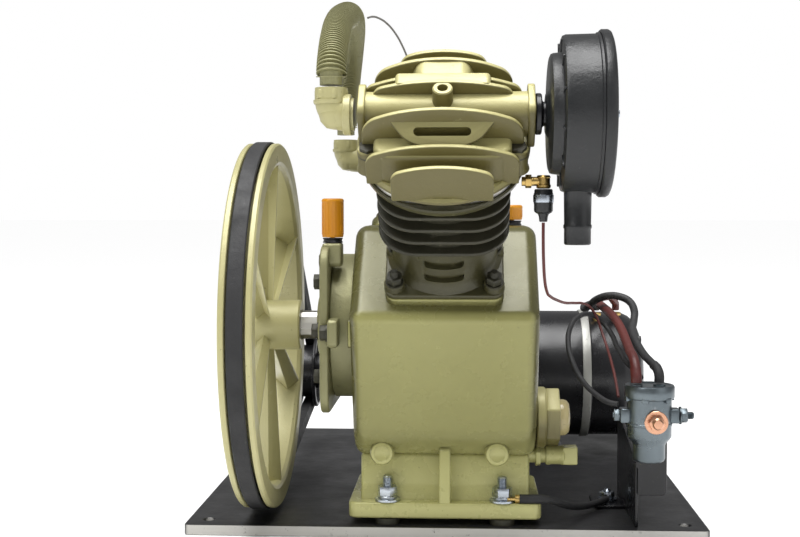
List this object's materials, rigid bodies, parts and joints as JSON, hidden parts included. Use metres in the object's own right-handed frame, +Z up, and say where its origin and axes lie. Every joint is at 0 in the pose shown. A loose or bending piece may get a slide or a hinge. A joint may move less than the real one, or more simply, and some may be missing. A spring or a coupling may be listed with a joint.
{
  "type": "air compressor",
  "caption": "Belt-driven two-stage V-twin air compressor pump with fan flywheel, direct-current motor and contactor on a steel base plate.",
  "frame": {"origin": "centre of the base plate's underside", "axes": "+Z up, +X along the crankshaft from the flywheel to the air filter, -Y the front, where the large cylinder leans out"},
  "size_m": [0.49, 0.7048, 0.4992],
  "materials": {
    "olive_paint": "satin",
    "pale_olive_paint": "satin",
    "dark_iron": "rough",
    "black_paint": "satin",
    "black_plastic": "satin",
    "black_rubber": "matte",
    "machined_steel": "satin",
    "zinc_plate": "bright",
    "yellow_brass": "bright",
    "copper_stud": "bright",
    "orange_plastic": "gloss",
    "filter_paper": "matte",
    "sight_lens": "clear",
    "red_sleeving": "satin",
    "grey_wire": "satin"
  },
  "bodies": {
    "frame": {"base_plate": "black_paint", "crankcase": "olive_paint", "bearing_cover": "pale_olive_paint", "drive_end_bearing": "machined_steel", "far_end_bearing": "machined_steel", "front_elbow": "pale_olive_paint", "rear_elbow": "pale_olive_paint", "intercooler": "olive_paint", "contactor_bracket": "black_paint", "contactor_body": "zinc_plate", "contactor_front_stud": "copper_stud", "contactor_side_stud": "zinc_plate", "front_cylinder": "dark_iron", "front_valve_plate": "machined_steel", "front_head": "pale_olive_paint", "rear_cylinder": "dark_iron", "rear_valve_plate": "machined_steel", "rear_head": "pale_olive_paint", "filter_nipple": "black_paint", "filter_body": "black_plastic", "filter_element": "filter_paper", "filter_lid": "black_plastic", "oil_filler_neck": "black_plastic", "breather_neck": "black_plastic", "sight_glass_bezel": "pale_olive_paint", "sight_glass_lens": "sight_lens", "drain_pipe": "olive_paint", "drain_plug": "olive_paint", "switch_fitting": "yellow_brass", "pressure_switch": "black_plastic", "v_belt": "black_rubber", "motor_shell": "black_paint", "motor_drive_bell": "black_paint", "motor_end_bell": "black_paint", "motor_saddle": "black_paint", "foot_bolt_front_left": "zinc_plate", "foot_bolt_front_right": "zinc_plate", "foot_bolt_rear_left": "zinc_plate", "foot_bolt_rear_right": "zinc_plate", "switch_wire": "red_sleeving", "loop_cable": "black_rubber", "red_cable": "red_sleeving", "black_cable": "black_rubber", "ground_cable": "black_rubber", "link_wire": "grey_wire"},
    "crank": {"crankshaft": "machined_steel", "flywheel": "pale_olive_paint", "flywheel_bolt": "machined_steel"},
    "front_rod": {"front_rod": "machined_steel"},
    "rear_rod": {"rear_rod": "machined_steel"},
    "front_piston": {"front_piston": "machined_steel", "front_wrist_pin": "machined_steel"},
    "rear_piston": {"rear_piston": "machined_steel", "rear_wrist_pin": "machined_steel"},
    "motor_rotor": {"motor_rotor": "machined_steel", "motor_pulley": "black_paint"},
    "filler_cap": {"oil_filler_cap": "orange_plastic"},
    "breather_cap": {"breather_cap": "orange_plastic"}
  },
  "joints": [
    {"name": "crank_spin", "type": "hinge", "parent": "frame", "child": "crank", "pos_m": [0, -0.185, 0.192], "axis": [1, 0, 0], "continuous": true},
    {"name": "motor_spin", "type": "hinge", "parent": "frame", "child": "motor_rotor", "pos_m": [0, 0.145, 0.103], "axis": [1, 0, 0], "continuous": true},
    {"name": "front_rod_swing", "type": "hinge", "parent": "crank", "child": "front_rod", "pos_m": [0, -0.185, 0.215], "axis": [1, 0, 0], "continuous": true},
    {"name": "rear_rod_swing", "type": "hinge", "parent": "crank", "child": "rear_rod", "pos_m": [-0.022, -0.185, 0.215], "axis": [1, 0, 0], "continuous": true},
    {"name": "front_piston_slide", "type": "slide", "parent": "frame", "child": "front_piston", "axis": [0, -0.7071, 0.7071], "range_m": [-0.03926, 0.00674]},
    {"name": "rear_piston_slide", "type": "slide", "parent": "frame", "child": "rear_piston", "axis": [0, 0.7071, 0.7071], "range_m": [-0.03926, 0.00674]},
    {"name": "filler_cap_lift", "type": "slide", "parent": "frame", "child": "filler_cap", "axis": [0, 0, 1], "range_m": [0, 0.014]},
    {"name": "breather_cap_lift", "type": "slide", "parent": "frame", "child": "breather_cap", "axis": [0, 0, 1], "range_m": [0, 0.014]}
  ],
  "couplings": [
    {"joint": "motor_spin", "follows": "crank_spin", "ratio": 4.2963},
    {"joint": "front_rod_swing", "follows": "crank_spin", "ratio": -1},
    {"joint": "rear_rod_swing", "follows": "crank_spin", "ratio": -1}
  ]
}
